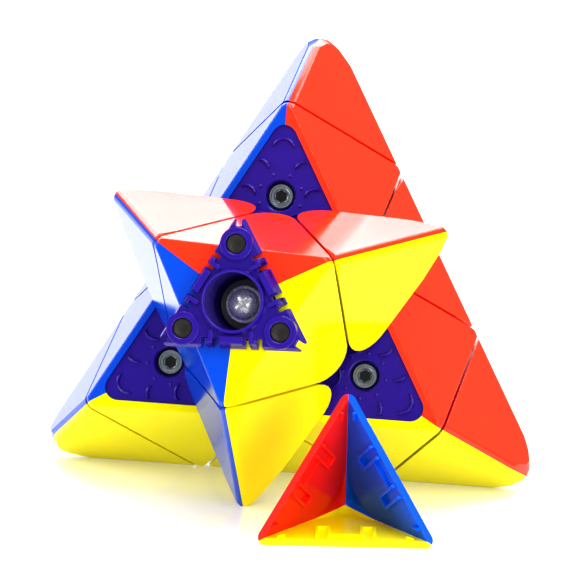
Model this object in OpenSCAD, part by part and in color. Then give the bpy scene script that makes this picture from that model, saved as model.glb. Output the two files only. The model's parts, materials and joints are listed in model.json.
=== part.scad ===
// Magnetic pyramid twisty puzzle. It stands on one ridge and on a corner of its front
// layer, which is part-way through a turn. The coloured cap of the front tip is
// unclipped and stands on one of its walls in front of the puzzle.
// Corners are numbered 0 front, 1 top, 2 left, 3 right. Face k is opposite corner k.

/* [Overall size] */
// Edge length of the pyramid, measured between its sharp corners
edge_length = 98; // [84:1:130]
// Radius that the ridges are blunted to
ridge_radius = 1.6; // [1:0.1:2]
// How far the points of the tips are cut back from the sharp corners
point_cut = 6.2; // [4.8:0.1:7]
// Width of the seam between two neighbouring pieces
seam = 0.4; // [0.3:0.05:0.7]
// How far the pieces' corners on the ridges are cut back
corner_cut = 3.4; // [2.8:0.1:3.6]
// How far the corners around each face centre are cut back
face_corner_cut = 3.6; // [2:0.1:4]

/* [Pose] */
// Turn of the front layer about its own axis
front_turn = 57.3; // [0:0.1:120]
// Turn of the front tip about the same axis
front_tip_turn = 1.4; // [-60:0.1:60]
// Sideways place of the cap's front edge
cap_x = 22.4; // [20:0.1:40]
// Place of the cap's front edge in front of the puzzle's centre
cap_y = -41.2; // [-60:0.1:-41]
// Turn of the cap on the table
cap_turn = 13.2; // [5:0.1:20]

/* [Shells] */
// Thickness of the coloured shells of centres and edges
shell = 1.2; // [0.9:0.05:1.6]
// Thickness of the coloured walls of the tips
tip_wall = 1.1; // [0.9:0.05:1.3]
// How far the inner faces lie below the coloured rims
panel_drop = 0.5; // [0.2:0.05:0.8]
// Gap between parts that are glued or clipped together
assembly_gap = 0.05; // [0.02:0.01:0.1]

/* [Mechanism] */
// Radius of the core ball
core_radius = 10.5; // [8:0.1:11]
// Outer radius of the edges' spherical feet
foot_radius = 14.8; // [13.5:0.1:15.2]
// Running clearance between sliding spherical surfaces
run_gap = 0.3; // [0.2:0.05:0.5]
// Height above the core's centre at which a layer's feet end
foot_cut = 3; // [2.5:0.1:3.5]
// Radius up to which an edge's neck is full width
neck_radius = 17; // [16.5:0.1:18]
// Distance from the core's centre to the outer end of an edge's plug
plug_reach = 28; // [26:0.5:30]

/* [Axis screws and tips] */
// Diameter of the axis screws
screw_d = 3; // [2.5:0.1:3.5]
// Diameter of an axis screw's domed head
head_d = 5.6; // [5:0.1:6.5]
// Height of an axis screw's head
head_h = 2.4; // [1.8:0.1:3]
// Depth of an axis screw's head below the tip base
head_depth = 7.2; // [6:0.1:9]
// Wire diameter of the axis springs
spring_wire = 0.7; // [0.5:0.05:0.9]
// Closed coils in an axis spring
spring_coils = 4; // [3:1:6]
// Outer diameter of an axis spring
spring_d = 6.4; // [5:0.1:7]
// Outer diameter of the washer under an axis screw's head
washer_d = 8.6; // [7:0.1:9.5]
// Thickness of that washer
washer_t = 0.5; // [0.3:0.1:0.8]
// Diameter of the round recess in a tip base
recess_d = 10; // [9.2:0.1:11]
// Wall of a tip base's sleeve
sleeve_wall = 0.9; // [0.7:0.05:1.2]
// Thickness of a tip base's triangular plate
base_t = 2.4; // [2:0.1:3]
// Height of the raised rim round the recess
rim_h = 0.5; // [0.3:0.1:0.8]
// Thread length of an axis screw in the core
thread_length = 6.5; // [4:0.5:8]
// Floor under the springs in a tip base
sleeve_floor = 1.4; // [1:0.1:2]

/* [Magnets and face screws] */
// Diameter of the round magnets
magnet_d = 3.5; // [3:0.1:4]
// Thickness of the round magnets
magnet_t = 2; // [1.5:0.1:2]
// Skin over the magnets of the centres
magnet_skin = 0.6; // [0.4:0.1:1]
// Diameter of the push-out hole through that skin
push_hole_d = 1.2; // [0.8:0.1:1.6]
// Distance of a tip's magnets from the tip's axis
tip_magnet_r = 10; // [9.5:0.1:10.4]
// Distance of a layer's magnets from the layer's axis
layer_magnet_r = 26; // [25.5:0.1:27]
// Distance of the face screws from the layer's axis
face_screw_r = 20.4; // [19:0.1:20.8]
// Diameter of a face screw's hex-socket head
face_head_d = 4.5; // [4:0.1:4.9]
// Height of that head
face_head_h = 2; // [1.5:0.1:2.5]
// How far that head lies below the inner face
face_head_drop = 0.6; // [0.3:0.1:1]
// Diameter of the well round that head
face_well_d = 5.2; // [5.1:0.1:6]
// Size of the head's hex socket, across flats
hex_size = 2; // [1.5:0.1:2.5]
// Diameter of a face screw's shank
face_shank_d = 2.4; // [2:0.1:2.6]
// Length of a face screw's shank
face_shank_l = 6; // [4:0.5:7]

/* [Cap clips] */
// Width of one clip loop on a tip's wall
clip_w = 2.8; // [2.4:0.1:3.4]
// Length of a clip loop up the wall
clip_l = 4; // [3.5:0.1:5]
// Distance from a wall's middle to a clip's middle
clip_place = 3.9; // [3.4:0.1:4.4]
// Thickness of a clip's bars
clip_bar = 0.6; // [0.5:0.05:0.8]
// How far a clip stands off the wall
clip_rise = 0.8; // [0.5:0.05:1]

/* [Hidden] */
$fn = 64;
big = 4 * edge_length;
// Directions from the centre of the pyramid to its four corners
dirs = [
    [0, 0, 1],
    [0, 2 * sqrt(2) / 3, -1 / 3],
    [-sqrt(6) / 3, -sqrt(2) / 3, -1 / 3],
    [sqrt(6) / 3, -sqrt(2) / 3, -1 / 3]
];
pyramid_height = edge_length * sqrt(2 / 3);
corner_dist = 3 / 4 * pyramid_height;
face_dist = pyramid_height / 4;
ridge_dist = edge_length / (2 * sqrt(2));
layer_cut = pyramid_height / 12;
tip_cut = 5 * pyramid_height / 12;
half_seam = seam / 2;
// Angle between an outer face and the direction of each corner on it
face_lean = asin(1 / 3);
ridge_cut = 0.9 * ridge_radius;

// Ends of the sliding zones
foot_in = core_radius + run_gap;
body_in = foot_radius + run_gap;
// Radius at which a centre's round stalk just misses the other layers' feet
stalk_r = (foot_cut - run_gap / 2 + foot_in / 3) * cos(face_lean) - run_gap / 2;

// Heights along a corner's axis
plate_bottom = tip_cut + half_seam;
plate_top = plate_bottom + base_t;
head_top = plate_top - head_depth;
washer_top = head_top - head_h;
spring_top = washer_top - washer_t;
spring_pitch = 0.85 * spring_wire;
spring_h = spring_wire + (spring_coils - 1) * spring_pitch;
sleeve_in = spring_top - spring_h - assembly_gap;
sleeve_out = sleeve_in - sleeve_floor;
sleeve_r = recess_d / 2 + sleeve_wall;
well_floor = sleeve_out - run_gap;
well_r = sleeve_r + run_gap;
screw_hole_d = screw_d + 2 * run_gap;
panel_level = layer_cut - half_seam - panel_drop;

// The tilt at which the bottom ridge and the turned layer's lowest corner both touch
ridge_ball = [0, -edge_length / (2 * sqrt(3)) + sqrt(2) * ridge_radius, -face_dist + ridge_radius];
corner_r = 2 * edge_length / (3 * sqrt(3));
corner_foot = [0, corner_r * sin(210 + front_turn) + corner_cut * sin(30 + front_turn) * cos(face_lean),
    layer_cut + corner_cut / 3];
reach = corner_foot - ridge_ball;
tilt = asin(-ridge_radius / norm(reach)) - atan2(reach.y, reach.z);
stand_height = ridge_radius - ridge_ball.y * cos(tilt) - ridge_ball.z * sin(tilt);
// Depth of the whole object, from the top corner back to the tip's rim or the cap's front corner
back_y = (edge_length / sqrt(3) - point_cut / cos(face_lean)) * sin(tilt) + face_dist * cos(tilt);
rim_y = -(plate_top + rim_h) * cos(tilt) - recess_d / 2 * sin(tilt);
cap_half_w = (corner_dist - plate_bottom) * sqrt(3 / 8) - corner_cut / cos(30);
front_y = min(rim_y, cap_y - cap_half_w * sin(cap_turn));
stand_y = -(back_y + front_y) / 2;

purple = [0.2, 0.1, 0.6];
face_colours = [[0.05, 0.6, 0.25], [1, 0.95, 0.05], [1, 0.3, 0.2], [0.05, 0.35, 0.85]];
steel = [0.75, 0.76, 0.78];
dark = [0.15, 0.15, 0.17];

function unit(a) = a / norm(a);
// The corners that are not in a list
function others(skip) = [for (i = [0:3]) if (len([for (s = skip) if (s == i) s]) == 0) i];
// Direction of corner w as seen from the axis of corner v
function aside(v, w) = unit(dirs[w] - (dirs[w] * dirs[v]) * dirs[v]);
// Point a third of the way along the ridge from corner v to corner w
function third(v, w) = corner_dist * (2 * dirs[v] + dirs[w]) / 3;
function face_middle(k) = -face_dist * dirs[k];
function edge_middle(v, w) = (third(v, w) + third(w, v) - face_dist * (dirs[others([v, w])[0]]
    + dirs[others([v, w])[1]])) / 4;
function centre_middle(v) = dirs[v] * (layer_cut + tip_cut) / 2;
function tip_middle(v) = dirs[v] * (3 * tip_cut + corner_dist) / 4;

// Children drawn in a frame with its own origin, x direction and z direction
module frame_at(origin, x, z) {
    y = cross(z, x);
    multmatrix([
        [x.x, y.x, z.x, origin.x], [x.y, y.y, z.y, origin.y], [x.z, y.z, z.z, origin.z], [0, 0, 0, 1]
    ]) children();
}

// Everything on the near side of a plane, whose distance is measured along its normal
module behind(normal, distance) {
    n = unit(normal);
    rotate([0, acos(n.z), atan2(n.y, n.x)]) translate([-big / 2, -big / 2, distance - big]) cube(big);
}

// Cut across a piece's corner, square to the line from the piece's middle
module behind_corner(middle, corner, cut) {
    behind(corner - middle, unit(corner - middle) * corner - cut);
}

// The outer faces in a list, with the blunted ridges between them
module outer_faces(faces, skin) {
    ridges = [for (i = faces) for (j = faces) if (j > i) -dirs[i] - dirs[j]];
    intersection() {
        intersection_for (k = faces) behind(-dirs[k], face_dist - skin);
        intersection_for (r = ridges) behind(r, ridge_dist - ridge_cut - skin);
    }
}

module centre_block(v, skin, side) {
    w = others([v]);
    intersection() {
        behind(dirs[v], tip_cut - half_seam - skin);
        behind(-dirs[v], -layer_cut - half_seam - side);
        outer_faces(w, skin);
        intersection_for (i = w) intersection() {
            behind(dirs[i], layer_cut - half_seam - side);
            behind_corner(centre_middle(v), third(v, i), corner_cut + skin);
            behind_corner(centre_middle(v), face_middle(i), face_corner_cut + skin);
        }
    }
}

module edge_block(v, w, skin) {
    faces = others([v, w]);
    intersection() {
        behind(-dirs[v], -layer_cut - half_seam - skin);
        behind(-dirs[w], -layer_cut - half_seam - skin);
        outer_faces(faces, skin);
        intersection_for (end = [third(v, w), third(w, v)])
            behind_corner(edge_middle(v, w), end, corner_cut + skin);
        intersection_for (k = faces)
            behind_corner(edge_middle(v, w), face_middle(k), face_corner_cut + skin);
    }
}

module tip_block(v, skin, bottom) {
    w = others([v]);
    intersection() {
        behind(-dirs[v], -bottom);
        behind(dirs[v], corner_dist - point_cut - skin);
        outer_faces(w, skin);
        intersection_for (i = w) behind_corner(tip_middle(v), third(v, i), corner_cut + skin);
    }
}

// The third of the space round corner v's axis that belongs to face k
module sector(v, k) {
    intersection_for (i = others([v, k])) behind(dirs[k] - dirs[i], 0);
}

// A frame with corner v's axis as its z direction
module on_axis(v) {
    frame_at([0, 0, 0], aside(v, others([v])[0]), dirs[v]) children();
}

// A frame on the cut square to corner w's axis, out towards corner v
module on_cut(w, v, out, level) {
    frame_at(dirs[w] * level + aside(w, v) * out, aside(w, v), dirs[w]) children();
}

module magnet_at(gap) {
    translate([0, 0, -gap]) cylinder(h = magnet_t + gap, d = magnet_d + 2 * gap);
}

module core_ball() {
    color(dark) difference() {
        sphere(core_radius);
        for (v = [0:3]) on_axis(v) translate([0, 0, core_radius - thread_length - 1])
            cylinder(h = thread_length + 2, d = screw_d + 2 * assembly_gap);
    }
}

module axis_screw() {
    dome_r = (head_d * head_d / 4 + head_h * head_h / 4) / head_h;
    difference() {
        union() {
            translate([0, 0, core_radius - thread_length]) cylinder(h = washer_top - core_radius
                + thread_length + 0.1, d = screw_d);
            intersection() {
                translate([0, 0, washer_top]) cylinder(h = head_h, d = head_d);
                translate([0, 0, head_top - dome_r - head_h / 8]) sphere(dome_r + head_h / 8);
            }
        }
        translate([-head_d / 4, -0.4, head_top - head_h / 2]) cube([head_d / 2, 0.8, head_h]);
        translate([-0.4, -head_d / 4, head_top - head_h / 2]) cube([0.8, head_d / 2, head_h]);
    }
}

module axis_spring() {
    for (i = [0:spring_coils - 1]) translate([0, 0, sleeve_in + assembly_gap + spring_wire / 2
        + i * spring_pitch])
        rotate_extrude() translate([spring_d / 2 - spring_wire / 2, 0]) circle(d = spring_wire, $fn = 24);
}

module axis_washer() {
    translate([0, 0, spring_top]) difference() {
        cylinder(h = washer_t, d = washer_d);
        translate([0, 0, -1]) cylinder(h = washer_t + 2, d = screw_d + 2 * assembly_gap);
    }
}

module face_screw() {
    difference() {
        union() {
            translate([0, 0, -face_head_h]) cylinder(h = face_head_h, d = face_head_d);
            translate([0, 0, -face_head_h - face_shank_l]) cylinder(h = face_shank_l + 0.1, d = face_shank_d);
        }
        translate([0, 0, -1.2]) cylinder(h = 2, d = hex_size / cos(30), $fn = 6);
    }
}

// A ball round the core whose poles lie away from centre v's own faces
module ball_cut(v, radius) {
    rotate([tilt, 0, v == 1 ? 0 : 90]) sphere(radius);
}

module centre_inner(v) {
    color(purple) difference() {
        union() {
            difference() {
                centre_block(v, shell, panel_drop);
                ball_cut(v, body_in);
            }
            difference() {
                on_axis(v) cylinder(h = body_in + 1, r = stalk_r);
                ball_cut(v, foot_in);
            }
        }
        on_axis(v) {
            cylinder(h = well_floor + 1, d = screw_hole_d);
            translate([0, 0, well_floor]) cylinder(h = tip_cut, r = well_r);
            for (k = [0:2]) rotate([0, 0, 120 * k]) translate([tip_magnet_r, 0,
                tip_cut - half_seam - shell - magnet_t]) magnet_at(assembly_gap);
        }
        for (w = others([v])) {
            on_cut(w, v, face_screw_r, panel_level) face_screw_well();
            on_cut(w, v, layer_magnet_r, panel_level - magnet_skin - magnet_t) {
                magnet_at(assembly_gap);
                cylinder(h = magnet_t + magnet_skin + 1, d = push_hole_d);
            }
        }
    }
}
module face_screw_well() {
    translate([0, 0, -face_head_h - face_head_drop]) cylinder(h = face_head_h + 2, d = face_well_d);
    translate([0, 0, -face_head_h - face_shank_l - 1]) cylinder(h = face_shank_l + 2,
        d = face_shank_d + 2 * assembly_gap);
}

module centre_shell(v, k) {
    color(face_colours[k]) difference() {
        intersection() {
            centre_block(v, 0, 0);
            sector(v, k);
        }
        centre_block(v, shell, -1);
        on_axis(v) cylinder(h = tip_cut, r = well_r);
    }
}

module edge_shell(v, w, k) {
    other = [for (i = others([v, w])) if (i != k) i][0];
    color(face_colours[k]) difference() {
        intersection() {
            edge_block(v, w, 0);
            behind(dirs[k] - dirs[other], 0);
        }
        edge_block(v, w, shell);
        sphere(neck_radius);
    }
}

// The part of an edge's foot that slides between the core and the centres
module foot_sector(v, w) {
    difference() {
        intersection() {
            sphere(foot_radius);
            intersection_for (i = [v, w]) behind(-dirs[i], -foot_cut - run_gap / 2);
            intersection_for (k = others([v, w])) behind(dirs[k], foot_cut - run_gap / 2);
        }
        sphere(foot_in);
    }
}

module edge_foot(v, w) {
    color(purple) difference() {
        union() {
            foot_sector(v, w);
            difference() {
                intersection() {
                    edge_block(v, w, 0);
                    sphere(neck_radius);
                }
                sphere(foot_radius - 0.4);
            }
            difference() {
                intersection() {
                    edge_block(v, w, shell);
                    behind(dirs[v] + dirs[w], plug_reach);
                }
                sphere(neck_radius - 0.4);
            }
        }
        for (p = [[v, w], [w, v]]) on_cut(p[0], p[1], layer_magnet_r, layer_cut + half_seam + shell)
            magnet_at(assembly_gap);
    }
}

// Clip loops and the rib between them, on the inside of a tip's wall
module wall_clips(v, k) {
    edge_mid = dirs[v] * plate_bottom - aside(v, k) * (corner_dist - plate_bottom) * tan(face_lean);
    along = unit(cross(dirs[k], dirs[v]));
    frame_at(edge_mid, along, -dirs[k]) translate([0, 0, -tip_wall - clip_rise]) {
        for (s = [-1, 1]) translate([s * clip_place - clip_w / 2, 0, 0]) difference() {
            translate([0, 0.6, 0]) cube([clip_w, clip_l, clip_rise + 0.1]);
            translate([clip_bar, -1, -1]) cube([clip_w - 2 * clip_bar, clip_l - clip_bar + 1.6, clip_rise + 1]);
        }
        translate([-clip_place, clip_l + 0.6 - clip_bar, 0]) cube([2 * clip_place, clip_bar, clip_rise + 0.1]);
    }
}

module tip_wall_piece(v, k) {
    color(face_colours[k]) union() {
        difference() {
            intersection() {
                tip_block(v, 0, plate_bottom);
                sector(v, k);
            }
            tip_block(v, tip_wall, plate_bottom - 1);
        }
        intersection() {
            wall_clips(v, k);
            sector(v, k);
        }
    }
}

// Slots in a tip base's side that take the bars of the loops, and leave a lip inside each loop
module clip_slots(v, k) {
    edge_mid = dirs[v] * plate_bottom - aside(v, k) * (corner_dist - plate_bottom) * tan(face_lean);
    along = unit(cross(dirs[k], dirs[v]));
    slot_w = clip_bar + 4 * assembly_gap;
    frame_at(edge_mid, along, -dirs[k]) translate([0, 0, -tip_wall - clip_rise - 2 * assembly_gap])
        for (s = [-1, 1]) for (side = [-1, 1])
            translate([s * clip_place + side * (clip_w - clip_bar) / 2 - slot_w / 2, -2, 0])
                cube([slot_w, clip_l + 8, 4]);
}

module tip_base(v) {
    color(purple) difference() {
        union() {
            intersection() {
                tip_block(v, tip_wall + assembly_gap, plate_bottom);
                on_axis(v) cylinder(h = plate_top, r = edge_length);
            }
            on_axis(v) {
                translate([0, 0, sleeve_out]) cylinder(h = plate_top - sleeve_out - 0.1, r = sleeve_r);
                cylinder_rim();
            }
        }
        on_axis(v) {
            translate([0, 0, sleeve_in]) cylinder(h = plate_top, d = recess_d);
            translate([0, 0, sleeve_out - 1]) cylinder(h = sleeve_floor + 2, d = screw_hole_d);
            for (k = [0:2]) rotate([0, 0, 120 * k]) translate([tip_magnet_r, 0, plate_top - magnet_t])
                magnet_pocket();
        }
        for (k = others([v])) clip_slots(v, k);
    }
}
module cylinder_rim() {
    translate([0, 0, plate_top - 1]) cylinder(h = rim_h + 1, r = recess_d / 2 + 0.6);
}
module magnet_pocket() {
    cylinder(h = magnet_t + 1, d = magnet_d + 2 * assembly_gap);
}

module tip_magnets(v) {
    color(dark) on_axis(v) for (k = [0:2]) rotate([0, 0, 120 * k])
        translate([tip_magnet_r, 0, plate_top - magnet_t]) magnet_at(0);
}

module face_screws(centres) {
    color(steel) for (v = centres) for (w = others([v])) on_cut(w, v, face_screw_r, panel_level - face_head_drop)
        face_screw();
}

module layer_magnets(centres, edges) {
    color(dark) {
        for (v = centres) {
            for (w = others([v])) on_cut(w, v, layer_magnet_r, panel_level - magnet_skin - magnet_t) magnet_at(0);
            on_axis(v) for (k = [0:2]) rotate([0, 0, 120 * k])
                translate([tip_magnet_r, 0, tip_cut - half_seam - shell - magnet_t]) magnet_at(0);
        }
        for (e = edges) for (p = [e, [e[1], e[0]]])
            on_cut(p[0], p[1], layer_magnet_r, layer_cut + half_seam + shell) magnet_at(0);
    }
}

// Places of the bodies: the standing puzzle, its turned front layer, and the loose cap
module stand() {
    translate([0, stand_y, stand_height]) rotate([90 - tilt, 0, 0]) children();
}
module turned_layer() {
    stand() rotate([0, 0, front_turn]) children();
}
module turned_tip() {
    stand() rotate([0, 0, front_tip_turn]) children();
}
module on_table() {
    edge_back = plate_bottom * cos(face_lean) + edge_drop() * sin(face_lean);
    translate([cap_x, cap_y + stand_y, 0]) rotate([0, 0, cap_turn]) translate([0, -edge_back, face_dist])
        rotate([-90 - face_lean, 0, 0]) rotate([0, 0, 180]) children();
}
// How far the cap's open edge lies to the side of the tip's axis, towards its yellow wall
function edge_drop() = (plate_bottom * sin(face_lean) - face_dist) / cos(face_lean);

stand() core_ball();  // core
stand() color(steel) for (v = [0:3]) on_axis(v) axis_screw();  // axis_screws
stand() color(dark) for (v = [0:3]) on_axis(v) axis_spring();  // axis_springs
stand() color(dark) for (v = [0:3]) on_axis(v) axis_washer();  // axis_washers
turned_layer() centre_inner(0);  // front_centre_inner
turned_layer() centre_shell(0, 1);  // front_centre_yellow
turned_layer() centre_shell(0, 2);  // front_centre_red
turned_layer() centre_shell(0, 3);  // front_centre_blue
stand() centre_inner(1);  // top_centre_inner
stand() centre_shell(1, 0);  // top_centre_green
stand() centre_shell(1, 2);  // top_centre_red
stand() centre_shell(1, 3);  // top_centre_blue
stand() centre_inner(2);  // left_centre_inner
stand() centre_shell(2, 0);  // left_centre_green
stand() centre_shell(2, 1);  // left_centre_yellow
stand() centre_shell(2, 3);  // left_centre_blue
stand() centre_inner(3);  // right_centre_inner
stand() centre_shell(3, 0);  // right_centre_green
stand() centre_shell(3, 1);  // right_centre_yellow
stand() centre_shell(3, 2);  // right_centre_red
turned_layer() edge_shell(0, 1, 2);  // front_top_edge_red
turned_layer() edge_shell(0, 1, 3);  // front_top_edge_blue
turned_layer() edge_shell(0, 2, 1);  // front_left_edge_yellow
turned_layer() edge_shell(0, 2, 3);  // front_left_edge_blue
turned_layer() edge_shell(0, 3, 1);  // front_right_edge_yellow
turned_layer() edge_shell(0, 3, 2);  // front_right_edge_red
stand() edge_shell(1, 2, 0);  // top_left_edge_green
stand() edge_shell(1, 2, 3);  // top_left_edge_blue
stand() edge_shell(1, 3, 0);  // top_right_edge_green
stand() edge_shell(1, 3, 2);  // top_right_edge_red
stand() edge_shell(2, 3, 0);  // bottom_edge_green
stand() edge_shell(2, 3, 1);  // bottom_edge_yellow
turned_layer() for (w = [1:3]) edge_foot(0, w);  // front_edge_feet
stand() for (e = [[1, 2], [1, 3], [2, 3]]) edge_foot(e[0], e[1]);  // back_edge_feet
turned_tip() tip_base(0);  // front_tip_base
on_table() tip_wall_piece(0, 1);  // cap_yellow_wall
on_table() tip_wall_piece(0, 2);  // cap_red_wall
on_table() tip_wall_piece(0, 3);  // cap_blue_wall
stand() tip_base(1);  // top_tip_base
stand() tip_wall_piece(1, 0);  // top_tip_green
stand() tip_wall_piece(1, 2);  // top_tip_red
stand() tip_wall_piece(1, 3);  // top_tip_blue
stand() tip_base(2);  // left_tip_base
stand() tip_wall_piece(2, 0);  // left_tip_green
stand() tip_wall_piece(2, 1);  // left_tip_yellow
stand() tip_wall_piece(2, 3);  // left_tip_blue
stand() tip_base(3);  // right_tip_base
stand() tip_wall_piece(3, 0);  // right_tip_green
stand() tip_wall_piece(3, 1);  // right_tip_yellow
stand() tip_wall_piece(3, 2);  // right_tip_red
turned_layer() face_screws([0]);  // front_layer_face_screws
stand() face_screws([1, 2, 3]);  // body_face_screws
turned_layer() layer_magnets([0], [[0, 1], [0, 2], [0, 3]]);  // front_layer_magnets
stand() layer_magnets([1, 2, 3], [[1, 2], [1, 3], [2, 3]]);  // body_magnets
turned_tip() tip_magnets(0);  // front_tip_magnets
stand() tip_magnets(1);  // top_tip_magnets
stand() tip_magnets(2);  // left_tip_magnets
stand() tip_magnets(3);  // right_tip_magnets
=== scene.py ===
import json
import math

import bmesh
import bpy
from mathutils import Matrix, Vector


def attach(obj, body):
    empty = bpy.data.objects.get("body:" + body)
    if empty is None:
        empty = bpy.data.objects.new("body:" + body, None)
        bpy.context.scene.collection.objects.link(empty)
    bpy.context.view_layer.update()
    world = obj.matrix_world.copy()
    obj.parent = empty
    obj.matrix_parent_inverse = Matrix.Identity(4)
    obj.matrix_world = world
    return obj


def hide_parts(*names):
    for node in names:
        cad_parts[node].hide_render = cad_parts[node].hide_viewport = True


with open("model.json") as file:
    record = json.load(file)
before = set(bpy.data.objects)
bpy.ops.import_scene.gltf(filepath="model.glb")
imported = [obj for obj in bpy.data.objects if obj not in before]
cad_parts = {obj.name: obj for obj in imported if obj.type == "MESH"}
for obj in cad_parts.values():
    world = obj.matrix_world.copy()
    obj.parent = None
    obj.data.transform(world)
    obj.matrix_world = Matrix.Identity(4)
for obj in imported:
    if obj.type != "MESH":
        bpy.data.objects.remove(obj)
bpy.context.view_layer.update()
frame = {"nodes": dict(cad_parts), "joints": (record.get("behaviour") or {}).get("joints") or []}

scene = bpy.context.scene
print("frame loaded")

# Layout of the puzzle, in mm
puzzle = {
    "edge": 98.0,            # between the sharp corners
    "seam": 0.4,
    "ridge": 1.6,            # radius of the ridges
    "cornerNear": 1.0,       # rounding of a piece's corner beside a tip
    "cornerFar": 1.6,        # rounding of the turned layer's outermost corners
    "point": 3.4,            # rounding of the tips' points
    "faceRound": 5.4,        # radius of the pieces' corners round each face centre
    "crisp": 0.3,            # small rounding of every other edge
    "capRim": 0.45,          # rounding of the cap's open rim
    "shell": 1.2,            # coloured shells of centres and edges
    "tipWall": 1.1,          # coloured walls of the tips
    "fitGap": 0.05,
    "panelDrop": 0.5,        # purple panels below the coloured rims
    "panelRound": 2.6,       # corner radius of the purple panels
    "layerTurn": 57.3,
    "tipTurn": 1.4,
    "arcSteps": 7,
    "plugCut": 4.6,          # cut of a purple plug's corners
}
height = puzzle["edge"] * math.sqrt(2 / 3)
cornerDist, faceDist = 0.75 * height, 0.25 * height
layerCut, tipCut = height / 12, 5 * height / 12
ridgeDist = puzzle["edge"] / (2 * math.sqrt(2))
halfSeam = puzzle["seam"] / 2
dirs = [
    Vector((0, 0, 1)),
    Vector((0, 2 * math.sqrt(2) / 3, -1 / 3)),
    Vector((-math.sqrt(6) / 3, -math.sqrt(2) / 3, -1 / 3)),
    Vector((math.sqrt(6) / 3, -math.sqrt(2) / 3, -1 / 3)),
]
cornerNames = ["front", "top", "left", "right"]
faceColours = ["green", "yellow", "red", "blue"]      # face k is opposite corner k
faceLean = math.asin(1 / 3)
plateBottom = tipCut + halfSeam


def others(*skip):
    return [i for i in range(4) if i not in skip]


def aside(v, w):
    return (dirs[w] - dirs[v] * dirs[w].dot(dirs[v])).normalized()


def third(v, w):
    return (dirs[v] * 2 + dirs[w]) * cornerDist / 3


def faceMiddle(k):
    return dirs[k] * -faceDist


def frameAt(origin, x, z):
    y = z.cross(x)
    return Matrix(((x.x, y.x, z.x, origin.x), (x.y, y.y, z.y, origin.y), (x.z, y.z, z.z, origin.z), (0, 0, 0, 1)))


def onAxis(v):
    return frameAt(Vector(), aside(v, others(v)[0]), dirs[v])


# Where the three groups of pieces stand, taken from the frame's own joints
joint = {j["name"]: j for j in frame["joints"]}
frontAxis = Vector(joint["front_layer_turn"]["axis"])
standMatrix = (Matrix.Translation(Vector(joint["front_layer_turn"]["pos_m"]))
               @ frameAt(Vector(), Vector((1, 0, 0)), frontAxis) @ Matrix.Scale(0.001, 4))
layerMatrix = standMatrix @ Matrix.Rotation(math.radians(puzzle["layerTurn"]), 4, "Z")
tipMatrix = standMatrix @ Matrix.Rotation(math.radians(puzzle["tipTurn"]), 4, "Z")

capPlace = {"x": 22.4, "y": -41.2, "turn": 13.2}       # the loose cap on the table
edgeDrop = (plateBottom * math.sin(faceLean) - faceDist) / math.cos(faceLean)
edgeBack = plateBottom * math.cos(faceLean) + edgeDrop * math.sin(faceLean)
capMatrix = (Matrix.Scale(0.001, 4)
             @ Matrix.Translation((capPlace["x"], capPlace["y"] + joint["front_layer_turn"]["pos_m"][1] * 1000, 0))
             @ Matrix.Rotation(math.radians(capPlace["turn"]), 4, "Z")
             @ Matrix.Translation((0, -edgeBack, faceDist))
             @ Matrix.Rotation(-math.pi / 2 - faceLean, 4, "X") @ Matrix.Rotation(math.pi, 4, "Z"))


class Wire:                                            # a shader value that takes part in plain arithmetic
    def __init__(self, tree, socket):
        self.tree, self.socket = tree, socket

    def math(self, operation, a, b=0.0):
        return addNode(self.tree, "ShaderNodeMath", {"operation": operation}, {0: a, 1: b}).out(0)

    def __add__(self, other):
        return self.math("ADD", self, other)

    def __sub__(self, other):
        return self.math("SUBTRACT", self, other)

    def __rsub__(self, other):
        return self.math("SUBTRACT", other, self)

    def __mul__(self, other):
        return self.math("MULTIPLY", self, other)

    def __pow__(self, other):
        return self.math("POWER", self, other)

    __radd__, __rmul__ = __add__, __mul__


class Node:
    def __init__(self, tree, node):
        self.tree, self.node = tree, node

    def out(self, key):
        return Wire(self.tree, self.node.outputs[key])


def addNode(tree, kind, settings=None, inputs=None):
    node = tree.nodes.new(kind)
    for name, value in (settings or {}).items():
        if name == "stops":
            ramp = node.color_ramp
            for element, (place, tone) in zip([ramp.elements[0], ramp.elements[1]], value[:2]):
                element.position, element.color = place, (tone, tone, tone, 1)
        else:
            setattr(node, name, value)
    for key, value in (inputs or {}).items():
        if isinstance(value, Wire):
            tree.links.new(value.socket, node.inputs[key])
        else:
            node.inputs[key].default_value = value
    return Node(tree, node)


def startMaterial(name):
    material = bpy.data.materials.new(name)
    material.use_nodes = True
    tree = material.node_tree
    shader = Node(tree, tree.nodes["Principled BSDF"])
    place = addNode(tree, "ShaderNodeTexCoord").out("Object")
    return material, tree, shader, place


def noise(tree, place, scale, detail=2.0):
    return addNode(tree, "ShaderNodeTexNoise", None, {"Vector": place, "Scale": scale, "Detail": detail}).out("Fac")


def mixColour(tree, factor, a, b):
    mix = addNode(tree, "ShaderNodeMix", {"data_type": "RGBA"}, {"Factor": factor})
    for key, value in ((6, a), (7, b)):
        if isinstance(value, Wire):
            tree.links.new(value.socket, mix.node.inputs[key])
        else:
            mix.node.inputs[key].default_value = (*value, 1)
    return mix.out(2)


def bump(tree, height, strength, distance):
    return addNode(tree, "ShaderNodeBump", None,
                   {"Height": height, "Strength": strength, "Distance": distance}).out("Normal")


def connect(shader, **links):
    for name, wire in links.items():
        shader.tree.links.new(wire.socket, shader.node.inputs[name.replace("_", " ")])


def fix(shader, values):                               # values that are the same all over the surface
    for name, value in values.items():
        shader.node.inputs[name].default_value = value


plastic = {"gloss": 0.12, "glossSpread": 0.07, "wave": 90.0, "waveDepth": 0.00003, "grain": 5200.0,
           "grainDepth": 0.0000015, "tone": 0.88, "ior": 1.38}


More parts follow.
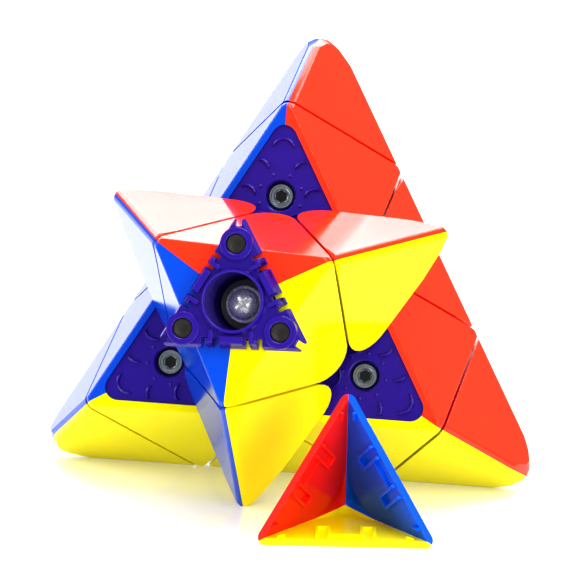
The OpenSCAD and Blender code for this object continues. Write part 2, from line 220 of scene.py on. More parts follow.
def mouldedPlastic(name, colour, gloss=None, ior=None):          # glossy coloured ABS with faint sink waves and fine grain
    material, tree, shader, place = startMaterial(name)
    cloud = noise(tree, place, 55.0)
    speck = noise(tree, place, 1300.0, 3.0)
    shade = mixColour(tree, cloud, [c * plastic["tone"] for c in colour], colour)
    gloss = plastic["gloss"] if gloss is None else gloss
    wave = noise(tree, place, plastic["wave"], 0.0)
    grain = noise(tree, place, plastic["grain"], 1.0)
    relief = bump(tree, wave + grain * (plastic["grainDepth"] / plastic["waveDepth"]), 1.0, plastic["waveDepth"])
    connect(shader, Base_Color=shade, Roughness=speck * plastic["glossSpread"] + cloud * 0.04 + (gloss - 0.05),
            Normal=relief)
    fix(shader, {"IOR": ior or plastic["ior"]})
    return material


def platedMetal(name, colour, roughness, speck, depth, metallic=1.0):
    material, tree, shader, place = startMaterial(name)
    fine = noise(tree, place, speck, 4.0)
    broad = noise(tree, place, speck / 9, 2.0)
    connect(shader, Base_Color=mixColour(tree, fine, [c * 0.7 for c in colour], colour),
            Roughness=broad * 0.12 + fine * 0.1 + (roughness - 0.1), Normal=bump(tree, fine, 0.6, depth))
    fix(shader, {"Metallic": metallic})
    return material


colours = {
    "yellow": (1.0, 0.90, 0.0),
    "red": (1.0, 0.04, 0.01),
    "blue": (0.0, 0.07, 0.6),
    "green": (0.0, 0.33, 0.05),
    "purple": (0.028, 0.008, 0.26),
}
finish = {name: mouldedPlastic(name + "Plastic", colour) for name, colour in colours.items()}
finish["yellow"] = mouldedPlastic("yellowGloss", colours["yellow"], ior=1.22)
finish["blue"] = mouldedPlastic("blueGloss", colours["blue"], ior=1.42)
finish["purple"] = mouldedPlastic("purplePanels", colours["purple"], 0.2)
finish["core"] = mouldedPlastic("corePlastic", (0.03, 0.03, 0.035), 0.35)
finish["magnet"] = platedMetal("magnetNickel", (0.05, 0.047, 0.045), 0.45, 2600.0, 0.00012)
finish["screw"] = platedMetal("zincScrew", (0.5, 0.56, 0.6), 0.2, 1500.0, 0.00003)
finish["chrome"] = platedMetal("brightScrew", (0.95, 0.96, 0.98), 0.26, 1500.0, 0.00003, 0.6)
# copies for the cap's walls: lower IOR, a little darker red, and a blue painted lighter than the same plastic
# elsewhere, as painted light
finish["capRed"] = mouldedPlastic("capRedPlastic", (0.9, 0.015, 0.008), ior=1.2)
finish["capBluePaintedLighter"] = mouldedPlastic("capBluePaintedLighterPlastic", (0.0, 0.1, 0.8), ior=1.2)
finish["spring"] = platedMetal("springWire", (0.5, 0.5, 0.52), 0.3, 1200.0, 0.00002)
# finish of the real black washers, also used for the painted shade cups in the face-screw sockets
finish["washer"] = platedMetal("blackWasherAndSocketShade", (0.05, 0.05, 0.055), 0.3, 1500.0, 0.00002)
print("materials ready")


def slerp(a, b, t):
    angle = a.angle(b)
    return (a * math.sin((1 - t) * angle) + b * math.sin(t * angle)) / math.sin(angle)


def filletPlanes(a, b, distance, radius):              # planes that round the edge of two planes equally far out
    steps = puzzle["arcSteps"]
    centre = (a + b) * (distance - radius) / (1 + a.dot(b))
    normals = [slerp(a, b, i / (steps + 1)) for i in range(1, steps + 1)]
    return [(n, n.dot(centre) + radius) for n in normals]


def cornerPlanes(corner, inward, reach, radius, rings=((0, 1), (24, 6), (48, 8))):
    centre = corner + inward * reach                   # planes that touch a ball inside a corner
    side = inward.orthogonal().normalized()
    found = []
    for lean, count in rings:
        for i in range(count):
            n = Matrix.Rotation(2 * math.pi * i / count, 3, inward) @ side
            n = -inward * math.cos(math.radians(lean)) + n * math.sin(math.radians(lean))
            found.append((n, n.dot(centre) + radius))
    return found


def solidFrom(planes):
    bm = bmesh.new()
    bmesh.ops.create_cube(bm, size=400)
    for normal, distance in planes:
        bmesh.ops.bisect_plane(bm, geom=bm.verts[:] + bm.edges[:] + bm.faces[:], dist=1e-5,
                               plane_co=normal * distance, plane_no=normal, clear_outer=True)
        fillHoles(bm)
    bmesh.ops.remove_doubles(bm, verts=bm.verts[:], dist=0.004)
    bmesh.ops.dissolve_degenerate(bm, edges=bm.edges[:], dist=0.004)
    bmesh.ops.recalc_face_normals(bm, faces=bm.faces[:])
    return bm


def fillHoles(bm):
    rim = [e for e in bm.edges if len(e.link_faces) == 1]
    if rim:
        bmesh.ops.holes_fill(bm, edges=rim, sides=0)


def sectorPlanes(v, k, gap=0.0):
    return [((dirs[k] - dirs[i]).normalized(), -gap) for i in others(v, k)]


def outerPlanes(faces, skin, ridge):
    planes = [(-dirs[k], faceDist - skin) for k in faces]
    for i in faces:
        for j in faces:
            if j > i:
                planes += filletPlanes(-dirs[i], -dirs[j], faceDist - skin, ridge)
    return planes


def centrePlanes(v, skin=0.0, side=0.0, ridge=None, rounded=True):
    ridge = puzzle["ridge"] if ridge is None else ridge
    planes = [(dirs[v], tipCut - halfSeam - skin), (-dirs[v], -layerCut - halfSeam - side)]
    planes += outerPlanes(others(v), skin, ridge)
    inner = layerCut - halfSeam - side
    planes += [(dirs[i], inner) for i in others(v)]
    for k in others(v) if rounded else []:
        a, b = others(v, k)
        planes += filletPlanes(dirs[a], dirs[b], inner, puzzle["faceRound"] - skin)
    return planes


def edgePlanes(v, w, skin=0.0, side=0.0, near=None, far=None, rounded=True):
    cut = -layerCut - halfSeam - side
    planes = [(-dirs[v], cut), (-dirs[w], cut)] + outerPlanes(others(v, w), skin, max(puzzle["ridge"] - skin, 0.3))
    if rounded:
        planes += filletPlanes(-dirs[v], -dirs[w], cut, puzzle["faceRound"] - skin)
    middle = (third(v, w) + third(w, v) + faceMiddle(others(v, w)[0]) + faceMiddle(others(v, w)[1])) / 4
    for corner, radius in ((third(v, w), near), (third(w, v), far)):
        inward = (middle - corner).normalized()
        if radius:
            planes += cornerPlanes(corner, inward, 3 * radius, radius)
        else:
            planes.append((-inward, (-inward).dot(corner) - puzzle["plugCut"]))
    return planes


def tipPlanes(v, skin=0.0, bottom=None, ridge=None):
    ridge = puzzle["ridge"] if ridge is None else ridge
    bottom = plateBottom if bottom is None else bottom
    planes = [(-dirs[v], -bottom)] + outerPlanes(others(v), skin, ridge)
    ball = puzzle["point"] - skin
    rings = ((0, 1), (14, 6), (28, 9), (40, 12))
    return planes + cornerPlanes(dirs[v] * (cornerDist - 3 * skin), -dirs[v], 3 * ball, ball, rings)


def toObject(bm, name):
    mesh = bpy.data.meshes.new(name)
    bm.to_mesh(mesh)
    bm.free()
    item = bpy.data.objects.new(name, mesh)
    scene.collection.objects.link(item)
    return item


def settle(item):                                      # applies the modifiers
    bpy.context.view_layer.update()
    result = bpy.data.meshes.new_from_object(item.evaluated_get(bpy.context.evaluated_depsgraph_get()))
    old = item.data
    item.modifiers.clear()
    item.data = result
    bpy.data.meshes.remove(old)
    return item


def soften(item, width, segments=2, angle=28):
    rounder = item.modifiers.new("soften", "BEVEL")
    rounder.width, rounder.segments = width, segments
    rounder.limit_method, rounder.angle_limit = "ANGLE", math.radians(angle)
    rounder.miter_outer = "MITER_ARC"
    return settle(item)


def combine(item, tool, operation="DIFFERENCE", keep=False):
    cutter = item.modifiers.new("combine", "BOOLEAN")
    cutter.operation, cutter.object, cutter.solver = operation, tool, "EXACT"
    settle(item)
    if not keep:
        drop(tool)
    return item


def drop(item):
    mesh = item.data
    bpy.data.objects.remove(item)
    bpy.data.meshes.remove(mesh)


def copyOf(item, name):
    twin = bpy.data.objects.new(name, item.data.copy())
    scene.collection.objects.link(twin)
    return twin


def cutBack(bm, planes):                               # keeps what lies behind the planes, and closes the cuts
    for normal, distance in planes:
        bmesh.ops.bisect_plane(bm, geom=bm.verts[:] + bm.edges[:] + bm.faces[:], dist=1e-5,
                               plane_co=normal * distance, plane_no=normal, clear_outer=True)
        fillHoles(bm)
    bmesh.ops.recalc_face_normals(bm, faces=bm.faces[:])
    return bm


def meshOf(item):                                      # takes an object's mesh as a bmesh
    bm = bmesh.new()
    bm.from_mesh(item.data)
    drop(item)
    return bm


def trim(item, planes):
    bm = bmesh.new()
    bm.from_mesh(item.data)
    cutBack(bm, planes)
    bm.to_mesh(item.data)
    bm.free()
    return item


def lathe(profile, steps=48, ring=False):              # solid from (radius, height) points, bottom to top
    bm = bmesh.new()
    rings = []
    for radius, level in profile:
        if radius < 1e-6:
            rings.append([bm.verts.new((0, 0, level))])
        else:
            rings.append([bm.verts.new((radius * math.cos(2 * math.pi * i / steps),
                                        radius * math.sin(2 * math.pi * i / steps), level)) for i in range(steps)])
    for low, high in zip(rings, rings[1:] + rings[:1] if ring else rings[1:]):
        for i in range(steps):
            j = (i + 1) % steps
            corners = [low[i], low[j], high[j], high[i]] if len(low) > 1 and len(high) > 1 else (
                [low[0], high[j], high[i]] if len(low) == 1 else [low[i], low[j], high[0]])
            bm.faces.new(corners)
    for end, flip in () if ring else ((rings[0], True), (rings[-1], False)):
        if len(end) > 1:
            bm.faces.new(end[::-1] if flip else end)
    bmesh.ops.recalc_face_normals(bm, faces=bm.faces[:])
    return bm


def prism(outline, low, high):
    bm = bmesh.new()
    floor = [bm.verts.new((x, y, low)) for x, y in outline]
    roof = [bm.verts.new((x, y, high)) for x, y in outline]
    count = len(outline)
    for i in range(count):
        j = (i + 1) % count
        bm.faces.new((floor[i], floor[j], roof[j], roof[i]))
    bm.faces.new(floor[::-1])
    bm.faces.new(roof)
    bmesh.ops.recalc_face_normals(bm, faces=bm.faces[:])
    return bm


def box(x0, x1, y0, y1, low, high):
    return prism([(x0, y0), (x1, y0), (x1, y1), (x0, y1)], low, high)


def moved(bm, matrix):
    bm.transform(matrix)
    if matrix.determinant() < 0:
        bmesh.ops.reverse_faces(bm, faces=bm.faces[:])
    return bm


def joined(name, parts):                               # one mesh from several
    whole = bmesh.new()
    for part in parts:
        mesh = bpy.data.meshes.new("part")
        part.to_mesh(mesh)
        part.free()
        whole.from_mesh(mesh)
        bpy.data.meshes.remove(mesh)
    return toObject(whole, name)


def finishPiece(item, matrix, body, tone, nodes, sharp=35):
    item.data.transform(matrix)
    item.data.materials.clear()
    item.data.materials.append(finish[tone])
    for polygon in item.data.polygons:
        polygon.use_smooth, polygon.material_index = True, 0
    item.data.set_sharp_from_angle(angle=math.radians(sharp))
    weight = item.modifiers.new("weighted normals", "WEIGHTED_NORMAL")
    weight.keep_sharp, weight.weight = True, 50
    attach(item, body)
    if nodes:
        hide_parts(*nodes)
    return item


def cornerBody(v, tip=False):
    if tip:
        return f"{cornerNames[v]}_tip"
    return "front_layer" if v == 0 else "body"


well = {"radius": 7.0, "floor": 20.5}                  # round well for a tip's sleeve
faceScrew = {"r": 20.4, "headD": 4.5, "wellD": 5.3, "headH": 2.0, "drop": 0.6, "hex": 2.0}
panelLevel = layerCut - halfSeam - puzzle["panelDrop"]


def onCut(w, v, out, level):
    return frameAt(dirs[w] * level + aside(w, v) * out, aside(w, v), dirs[w])


def shellOf(outer, inner, v, k, name, planes, hole=None):
    piece = trim(copyOf(outer, name), planes)
    combine(piece, inner, keep=True)
    if hole:
        combine(piece, toObject(moved(lathe([(well["radius"], 15), (well["radius"], 45)]), onAxis(v)), "hole"))
    return piece


def arcRidge(centre, radius, start, stop, width, rise):
    steps = max(5, int(abs(stop - start) / 9))
    bm = bmesh.new()
    rows = []
    for i in range(steps + 1):
        t = i / steps
        angle = math.radians(start + (stop - start) * t)
        taper = min(1.0, 2.2 * math.sin(math.pi * t) + 0.12)
        row = []
        for j in range(7):
            around = math.pi * j / 6
            reach = radius + 0.5 * width * taper * math.cos(around)
            row.append(bm.verts.new((centre[0] + reach * math.cos(angle), centre[1] + reach * math.sin(angle),
                                     rise * taper * math.sin(around) - (0.15 if j in (0, 6) else 0))))
        rows.append(row)
    for a, b in zip(rows, rows[1:]):
        for j in range(7):
            bm.faces.new((a[j], a[(j + 1) % 7], b[(j + 1) % 7], b[j]))
    bm.faces.new(rows[0][::-1])
    bm.faces.new(rows[-1])
    bmesh.ops.recalc_face_normals(bm, faces=bm.faces[:])
    return bm


relief = {
    "width": 0.7, "rise": 0.6, "dots": 8, "dotRing": 4.0, "dot": 0.36,
    # petals on one side of the panel's middle: centre x, centre y, radius, first and last angle
    "petals": [(8.2, 0.0, 2.0, -84, 84), (4.4, 4.2, 1.9, -84, 84), (-0.4, 6.4, 2.0, -84, 84),
               (-5.2, 8.4, 2.1, -84, 84), (-5.4, 3.6, 2.3, -84, 84)],
}


def panelRelief(v, name):
    place = onCut(0, v, faceScrew["r"], panelLevel)
    panelEdge = outerPlanes(others(v), puzzle["shell"] + 0.8, puzzle["panelRound"])
    parts = []
    for x, y, radius, start, stop in relief["petals"]:
        for side in (1, -1):
            if side < 0 and y == 0:
                continue
            bm = arcRidge((x, y), radius, start, stop, relief["width"], relief["rise"])
            parts.append(cutBack(moved(bm, place @ Matrix.Diagonal((1, side, 1, 1))), panelEdge))
    for i in range(relief["dots"]):
        angle = 2 * math.pi * (i + 0.5) / relief["dots"]
        d = relief["dot"]
        bm = lathe([(d, -0.15), (d, 0.02), (0.8 * d, 0.14), (0.45 * d, 0.2), (0, 0.22)], 12)
        parts.append(moved(bm, place @ Matrix.Translation((relief["dotRing"] * math.cos(angle),
                                                           relief["dotRing"] * math.sin(angle), 0))))
    return joined(name, parts)


def makeCentre(v):
    name, matrix, body = cornerNames[v], (layerMatrix if v == 0 else standMatrix), cornerBody(v)
    outer = soften(toObject(solidFrom(centrePlanes(v)), "outer"), puzzle["crisp"])
    inner = toObject(solidFrom(centrePlanes(v, puzzle["shell"], -1.0, puzzle["panelRound"], False)), "inner")
    for k in others(v):
        piece = shellOf(outer, inner, v, k, f"{name}Centre{faceColours[k].title()}", sectorPlanes(v, k, 0.015), True)
        finishPiece(piece, matrix, body, faceColours[k], [f"{name}_centre_{faceColours[k]}"])
    drop(outer)
    drop(inner)
    core = toObject(solidFrom(centrePlanes(v, puzzle["shell"] + puzzle["fitGap"], puzzle["panelDrop"],
                                           puzzle["panelRound"])), f"{name}CentreInner")
    soften(core, 0.12, 1)
    for w in others(v):
        place = onCut(w, v, faceScrew["r"], panelLevel)
        bore = lathe([(faceScrew["wellD"] / 2, -faceScrew["headH"] - faceScrew["drop"]), (faceScrew["wellD"] / 2, -0.25),
                      (faceScrew["wellD"] / 2 + 0.25, 0.0), (faceScrew["wellD"] / 2 + 0.25, 2.0)])
        combine(core, toObject(moved(bore, place), "bore"))
    combine(core, toObject(moved(lathe([(well["radius"], well["floor"]), (well["radius"], 45)]), onAxis(v)), "bore"))
    combine(core, toObject(moved(lathe([(2.0, -10), (2.0, 40)]), onAxis(v)), "bore"))
    ball = bmesh.new()
    bmesh.ops.create_icosphere(ball, subdivisions=4, radius=15.1)
    combine(core, toObject(ball, "ball"))
    finishPiece(core, matrix, body, "purple", [f"{name}_centre_inner"])
    if v:
        finishPiece(panelRelief(v, f"{name}PanelRelief"), matrix, body, "purple", [])


def makeEdge(v, w):
    matrix, body = (layerMatrix if v == 0 else standMatrix), cornerBody(v)
    stem = f"{cornerNames[v]}_{cornerNames[w]}_edge" if (v, w) != (2, 3) else "bottom_edge"
    far = puzzle["cornerFar"] if v == 0 else puzzle["cornerNear"]
    outer = soften(toObject(solidFrom(edgePlanes(v, w, near=puzzle["cornerNear"], far=far)), "outer"), puzzle["crisp"])
    inner = toObject(solidFrom(edgePlanes(v, w, puzzle["shell"], -1.0, rounded=False)), "inner")
    for k in others(v, w):
        other = others(v, w, k)[0]
        piece = shellOf(outer, inner, v, k, stem.title().replace("_", "") + faceColours[k].title(),
                        [((dirs[k] - dirs[other]).normalized(), -0.015)])
        ball = bmesh.new()
        bmesh.ops.create_icosphere(ball, subdivisions=4, radius=17)
        combine(piece, toObject(ball, "ball"))
        finishPiece(piece, matrix, body, faceColours[k], [f"{stem}_{faceColours[k]}"])
    drop(outer)
    drop(inner)


def makeTip(v):
    name = cornerNames[v]
    outer = soften(toObject(solidFrom(tipPlanes(v)), "outer"), puzzle["crisp"])
    inner = toObject(solidFrom(tipPlanes(v, puzzle["tipWall"], plateBottom - 1, 0.5)), "inner")
    for k in others(v):
        piece = shellOf(outer, inner, v, k, f"{name}Tip{faceColours[k].title()}", sectorPlanes(v, k, 0.015))
        finishPiece(piece, standMatrix, f"{name}_tip", faceColours[k], [f"{name}_tip_{faceColours[k]}"])
    drop(outer)
    drop(inner)


clip = {"place": 3.9, "width": 2.8, "length": 7.4, "bar": 0.6, "rise": 0.8, "rimGap": 0.6,
        "ribLevel": 2.8, "ribWidth": 0.6, "seamRib": 0.5, "seamRibLong": 2.4}


def wallFrame(k):                                      # on the outside of the front tip's wall, at its open edge
    middle = dirs[0] * plateBottom - aside(0, k) * (cornerDist - plateBottom) * math.tan(faceLean)
    return frameAt(middle, dirs[k].cross(dirs[0]).normalized(), -dirs[k])


def clipLoops(k):
    half, long, bar, start = clip["width"] / 2, clip["length"], clip["bar"], clip["rimGap"]
    low, high = -puzzle["tipWall"] - clip["rise"], -puzzle["tipWall"] + 0.2
    loop = [(-half, start), (half, start), (half, start + long), (-half, start + long)]
    slot = (-half + bar, half - bar, start - 1, start + long - bar, low - 1, high + 1)
    parts = []
    for side in (-1, 1):
        item = toObject(prism(loop, low, high), "loop")
        combine(item, toObject(box(*slot), "slot"))
        soften(item, 0.1, 2)
        parts.append(moved(meshOf(item), wallFrame(k) @ Matrix.Translation((side * clip["place"], 0, 0))))
    inside = clip["place"] - half + 0.1
    rib = toObject(box(-inside, inside, clip["ribLevel"], clip["ribLevel"] + clip["ribWidth"], low + 0.3, high), "rib")
    parts.append(moved(meshOf(soften(rib, 0.1, 2)), wallFrame(k)))
    for side in (-1, 1):                               # locating ribs beside the seams
        far = (cornerDist - plateBottom) * math.tan(faceLean) * math.sqrt(3) - 4.4
        rib = toObject(box(-clip["seamRib"] / 2, clip["seamRib"] / 2, 0.5, clip["seamRibLong"], low + 0.2, high), "rib")
        lean = Matrix.Rotation(side * math.radians(30), 4, "Z")
        parts.append(moved(meshOf(soften(rib, 0.1, 2)), wallFrame(k) @ Matrix.Translation((side * far, 0, 0)) @ lean))
    return parts


capFinish = {"red": "capRed", "blue": "capBluePaintedLighter"}   # the walls seen from inside shine less (lower IOR); their blue is painted lighter than the pieces' blue, as painted light for the cap's shaded inside, and their red is a little darker


def makeCap():
    outer = soften(toObject(solidFrom(tipPlanes(0)), "outer"), puzzle["capRim"])
    inner = toObject(solidFrom(tipPlanes(0, puzzle["tipWall"], plateBottom - 1, 0.15)), "inner")
    for k in others(0):
        wall = shellOf(outer, inner, 0, k, "wall", sectorPlanes(0, k))
        colour = faceColours[k]
        name = f"cap{colour.title()}Wall"
        finishPiece(joined(name, [meshOf(wall)] + clipLoops(k)), capMatrix, "cap", capFinish.get(colour, colour),
                    [f"cap_{colour}_wall"])
    drop(outer)
    drop(inner)


tipBase = {"top": plateBottom + 2.4, "plate": 1.5, "recess": 5.0, "sleeve": 5.9, "sleeveOut": 21.9, "sleeveIn": 23.3,
           "hole": 1.8, "rim": 0.5, "boss": 2.9, "bossRing": 2.15, "magnetR": 10.0, "magnet": 1.75, "magnetT": 2.0,
           "prongEnd": 14.5, "prongSlot": 0.6, "slotEnd": 13.1, "block": 2.1, "blockIn": 1.25,
           "slotWidth": 0.8, "slotIn": 1.0, "lipLong": 2.3, "flangeLong": 0.75, "lipWidth": 0.75}


def plateSide(level):                                  # distance of the plate's sides from the axis
    return (faceDist - puzzle["tipWall"] - puzzle["fitGap"] - level / 3) / math.cos(faceLean)


def sideFrame(k):
    level = tipBase["top"]
    inward = aside(0, k)
    return frameAt(dirs[0] * level - inward * plateSide(level), inward.cross(dirs[0]), dirs[0])


def roundedFinger(x0, x1, y0, y1, steps=8):            # a bar with a round inner end
    radius, middle = (x1 - x0) / 2, (x0 + x1) / 2
    arc = [(middle + radius * math.cos(math.pi * i / steps), y1 - radius + radius * math.sin(math.pi * i / steps))
           for i in range(steps + 1)]
    return [(x0, y0), (x1, y0)] + arc


def sideDetails(k):                                    # raised block and two hooked lips on one side of the plate
    walls = [(-dirs[k], faceDist - puzzle["tipWall"] - puzzle["fitGap"])]
    parts = [(box(-tipBase["block"], tipBase["block"], -1, tipBase["blockIn"], -1.8, 0), 0.12)]
    inner, outer = (clip["place"] - 0.7, clip["place"] + 0.7)
    for side in (-1, 1):
        edges = sorted((side * inner, side * (inner + tipBase["lipWidth"])))
        parts.append((prism(roundedFinger(*edges, -1, tipBase["lipLong"]), -1.8, 0.15), 0.12))
        edges = sorted((side * inner, side * outer))
        parts.append((box(*edges, -1, tipBase["flangeLong"], -1.8, 0.08), 0.12))
    done = []
    for bm, radius in parts:
        item = soften(toObject(cutBack(moved(bm, sideFrame(k)), walls), "detail"), radius, 2)
        done.append(meshOf(item))
    return done


def makeFrontTipBase():
    planes = [(-dirs[0], -plateBottom), (dirs[0], tipBase["top"] - 0.9)]
    planes += [(-dirs[k], faceDist - puzzle["tipWall"] - puzzle["fitGap"]) for k in others(0)]
    planes += [(aside(0, i), tipBase["prongEnd"]) for i in others(0)]
    plate = toObject(solidFrom(planes), "plate")
    combine(plate, toObject(lathe([(tipBase["recess"] + 0.4, 30), (tipBase["recess"] + 0.4, 40)]), "bore"))
    for k in others(0):
        for side in (-1, 1):
            for offset in (-1.1, 1.1):
                x = side * clip["place"] + offset
                half = tipBase["slotWidth"] / 2
                slot = box(x - half, x + half, -2, tipBase["slotIn"], -4, 2)
                combine(plate, toObject(moved(slot, sideFrame(k)), "slot"))
    for i in others(0):
        slot = box(tipBase["slotEnd"], 20, -tipBase["prongSlot"], tipBase["prongSlot"], 30, 40)
        combine(plate, toObject(moved(slot, frameAt(Vector(), aside(0, i), dirs[0])), "slot"))
    parts = [meshOf(soften(plate, 0.12, 2))]
    r, top, wall = tipBase["recess"], tipBase["top"], tipBase["sleeve"]
    cup = [(tipBase["hole"], tipBase["sleeveOut"]), (wall, tipBase["sleeveOut"]), (wall, top - 1.0), (r + 0.6, top - 0.7),
           (r + 0.6, top + 0.3), (r + 0.5, top + 0.46), (r + 0.3, top + 0.5), (r + 0.1, top + 0.42), (r, top + 0.2),
           (r, tipBase["sleeveIn"] + 0.3), (r - 0.3, tipBase["sleeveIn"]), (tipBase["hole"], tipBase["sleeveIn"])]
    parts.append(moved(lathe(cup, 72, True), onAxis(0)))
    b, g, m = tipBase["boss"], tipBase["bossRing"], tipBase["magnet"] + puzzle["fitGap"]
    boss = [(m, top - 2.2), (b, top - 2.2), (b, top - 0.12), (b - 0.12, top), (g + 0.15, top), (g + 0.05, top + 0.16),
            (m + 0.12, top + 0.16), (m, top + 0.05)]
    for turn in (0, 120, 240):
        place = onAxis(0) @ Matrix.Rotation(math.radians(turn), 4, "Z") @ Matrix.Translation((tipBase["magnetR"], 0, 0))
        parts.append(moved(lathe(boss, 40, True), place))
    for k in others(0):
        parts += sideDetails(k)
    finishPiece(joined("frontTipBase", parts), tipMatrix, "front_tip", "purple", ["front_tip_base"])


def makeFrontMagnets():
    m, top = tipBase["magnet"], tipBase["top"]
    profile = [(m, top - tipBase["magnetT"]), (m, top - 0.15), (m - 0.14, top - 0.02), (m - 0.45, top),
               (m - 0.55, top - 0.06), (0, top - 0.06)]
    parts = []
    for turn in (0, 120, 240):
        place = onAxis(0) @ Matrix.Rotation(math.radians(turn), 4, "Z") @ Matrix.Translation((tipBase["magnetR"], 0, 0))
        parts.append(moved(lathe(profile, 40), place))
    finishPiece(joined("frontTipMagnets", parts), tipMatrix, "front_tip", "magnet", ["front_tip_magnets"])


axisScrew = {"shank": 1.5, "start": 4.0, "seat": 26.34, "head": 3.3, "flange": 0.55, "dome": 2.75, "top": 28.74,
             "crossWide": 0.4, "crossLong": 1.6, "crossDepth": 1.3}


def makeAxisScrews():
    seat, head, dome = axisScrew["seat"], axisScrew["head"], axisScrew["dome"]
    edge = seat + axisScrew["flange"]
    profile = [(0, axisScrew["start"]), (axisScrew["shank"], axisScrew["start"] + 0.6), (axisScrew["shank"], seat),
               (head, seat), (head, edge), (head - 0.12, edge + 0.16), (dome, edge + 0.26)]
    rise = axisScrew["top"] - edge - 0.26
    profile += [(dome * math.cos(t), edge + 0.26 + rise * math.sin(t)) for t in
                [math.radians(a) for a in (12, 24, 36, 48, 60, 72, 81)]] + [(0, axisScrew["top"])]
    parts = []
    for v in range(4):
        screw = toObject(lathe(profile, 64), "screw")
        wide, far, low = axisScrew["crossWide"], axisScrew["crossLong"], axisScrew["top"] - axisScrew["crossDepth"]
        for turn in (35, 125):
            cut = moved(box(-far, far, -wide, wide, low, 40), Matrix.Rotation(math.radians(turn), 4, "Z"))
            combine(screw, toObject(cut, "cross"))
        parts.append(moved(meshOf(soften(screw, 0.07, 2, 40)), onAxis(v)))
    finishPiece(joined("axisScrews", parts), standMatrix, "body", "chrome", ["axis_screws"])


def makeFaceScrews(name, centres, matrix, body, node):
    r, h = faceScrew["headD"] / 2, faceScrew["headH"]
    profile = [(0, -8.0), (0.9, -8.0), (1.2, -7.6), (1.2, -h), (r, -h), (r, -0.2), (r - 0.16, 0), (r - 0.4, 0),
               (r - 0.48, -0.3), (r - 0.66, -0.3), (r - 0.72, 0), (r - 0.92, 0), (r - 1.1, -0.22), (0, -0.22)]
    corner = faceScrew["hex"] / 2 / math.cos(math.pi / 6)
    socket = [(corner * math.cos(math.pi * i / 3), corner * math.sin(math.pi * i / 3)) for i in range(6)]
    parts, paintedSocketShades = [], []
    for v in centres:
        for w in others(v):
            place = onCut(w, v, faceScrew["r"], panelLevel - faceScrew["drop"])
            screw = toObject(lathe(profile, 48), "screw")
            combine(screw, toObject(prism(socket, -1.3, 1), "socket"))
            parts.append(moved(meshOf(screw), place))
            # painted shade: a dark hex cup set in the bottom of each socket so the hex recess reads dark
            paintedSocketShades.append(moved(prism(socket, -1.4, -0.5), place))
    finishPiece(joined(name, parts), matrix, body, "screw", [node], 30)
    # the painted-shade socket cups share the black washers' finish
    finishPiece(joined(f"{name}SocketPaintedShade", paintedSocketShades), matrix, body, "washer", [], 30)


for corner in range(4):
    makeCentre(corner)
print("centres ready")
for pair in ((0, 1), (0, 2), (0, 3), (1, 2), (1, 3), (2, 3)):
    makeEdge(*pair)
print("edges ready")
for corner in (1, 2, 3):
    makeTip(corner)
makeCap()
makeFrontTipBase()
makeFrontMagnets()
print("tips ready")
makeAxisScrews()
makeFaceScrews("frontLayerFaceScrews", [0], layerMatrix, "front_layer", "front_layer_face_screws")
makeFaceScrews("bodyFaceScrews", [1, 2, 3], standMatrix, "body", "body_face_screws")
print("screws ready")

for node, item in frame["nodes"].items():              # carried-over nodes
    tone = {"core": "core", "axis_screws": "screw", "axis_springs": "spring", "axis_washers": "washer"}.get(node)
    tone = tone or ("magnet" if "magnets" in node else "screw" if "screws" in node else None)
    tone = tone or next((c for c in colours if c in node), "purple")
    item.data.materials.clear()
    item.data.materials.append(finish[tone])


camera = {"offset": (304.13, -1292.25, 280.34), "yaw": -13.16, "pitch": 11.75, "roll": 1.27, "lens": 475.3}


def makeCamera():
    data = bpy.data.cameras.new("camera")
    data.lens, data.sensor_width, data.clip_end = camera["lens"], 36, 20
    item = bpy.data.objects.new("camera", data)
    scene.collection.objects.link(item)
    yaw, pitch, roll = (math.radians(camera[n]) for n in ("yaw", "pitch", "roll"))
    forward = Vector((math.sin(yaw) * math.cos(pitch), math.cos(yaw) * math.cos(pitch), -math.sin(pitch)))
    right = Vector((math.cos(yaw), -math.sin(yaw), 0))
    up = right.cross(forward)
    right, up = (right * math.cos(roll) + up * math.sin(roll)), (up * math.cos(roll) - right * math.sin(roll))
    centre = Vector(joint["front_layer_turn"]["pos_m"])
    item.matrix_world = Matrix.Translation(centre + Vector(camera["offset"]) * 0.001) @ Matrix(
        (right, up, -forward)).transposed().to_4x4()
    scene.camera = item


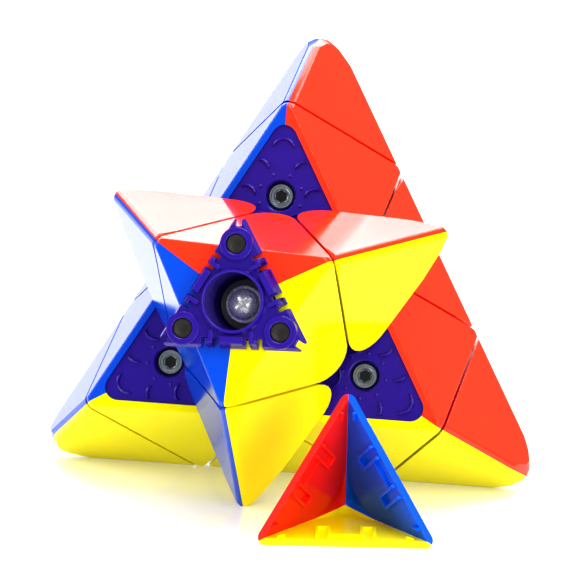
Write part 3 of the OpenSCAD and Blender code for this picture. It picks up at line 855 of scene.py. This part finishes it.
studio = {"world": 0.3, "floorTone": 0.9, "floorGloss": 0.16, "floorGlow": 0.12}
lamps = [  # name, place, aimed at, width, height, power, in metres and watts
    ("frontSoftbox", (0.5, -1.3, 1.6), (0, 0, 0.03), 1.0, 1.0, 17),
    ("cameraSoftbox", (0.25, -1.5, 0.5), (0, 0, 0.04), 0.5, 0.5, 2.2),
    ("topSoftbox", (0.1, 0.1, 1.3), (0, 0, 0.03), 1.0, 0.8, 12),
    ("leftSoftbox", (-1.3, -0.4, 0.7), (0, 0, 0.03), 0.8, 0.8, 9),
    ("rightFill", (1.2, -0.9, 0.5), (0, 0, 0.03), 0.8, 0.8, 9),
    ("backSoftbox", (-0.3, 1.9, 0.95), (0, 0, 0.1), 1.6, 1.0, 2.2),
    ("backWash", (-0.3, 1.7, 1.1), (-0.3, 1.6, 0), 3.0, 1.5, 62),
]


def makeStudio():
    bm = bmesh.new()
    bmesh.ops.create_circle(bm, cap_ends=True, segments=96, radius=12)
    floor = toObject(bm, "floor")
    material, tree, shader, place = startMaterial("paleFloor")
    tone = studio["floorTone"]
    connect(shader, Base_Color=mixColour(tree, noise(tree, place, 3.0), [tone - 0.01] * 3, [tone] * 3),
            Roughness=noise(tree, place, 40.0) * 0.04 + studio["floorGloss"])
    fix(shader, {"Emission Color": (1, 1, 1, 1), "Emission Strength": studio["floorGlow"]})
    floor.data.materials.append(material)
    world = bpy.data.worlds.new("studio")
    world.use_nodes = True
    world.node_tree.nodes["Background"].inputs["Color"].default_value = (1, 1, 1, 1)
    world.node_tree.nodes["Background"].inputs["Strength"].default_value = studio["world"]
    scene.world = world
    for name, place, aim, width, depth, power in lamps:
        data = bpy.data.lights.new(name, "AREA")
        data.shape, data.size, data.size_y, data.energy = "RECTANGLE", width, depth, power
        lamp = bpy.data.objects.new(name, data)
        lamp.location = place
        lamp.rotation_mode = "QUATERNION"
        lamp.rotation_quaternion = (Vector(aim) - Vector(place)).to_track_quat("-Z", "Y")
        scene.collection.objects.link(lamp)
    scene.view_settings.view_transform = "Standard"
    scene.view_settings.look = "Medium High Contrast"


makeCamera()
makeStudio()
print("studio ready")
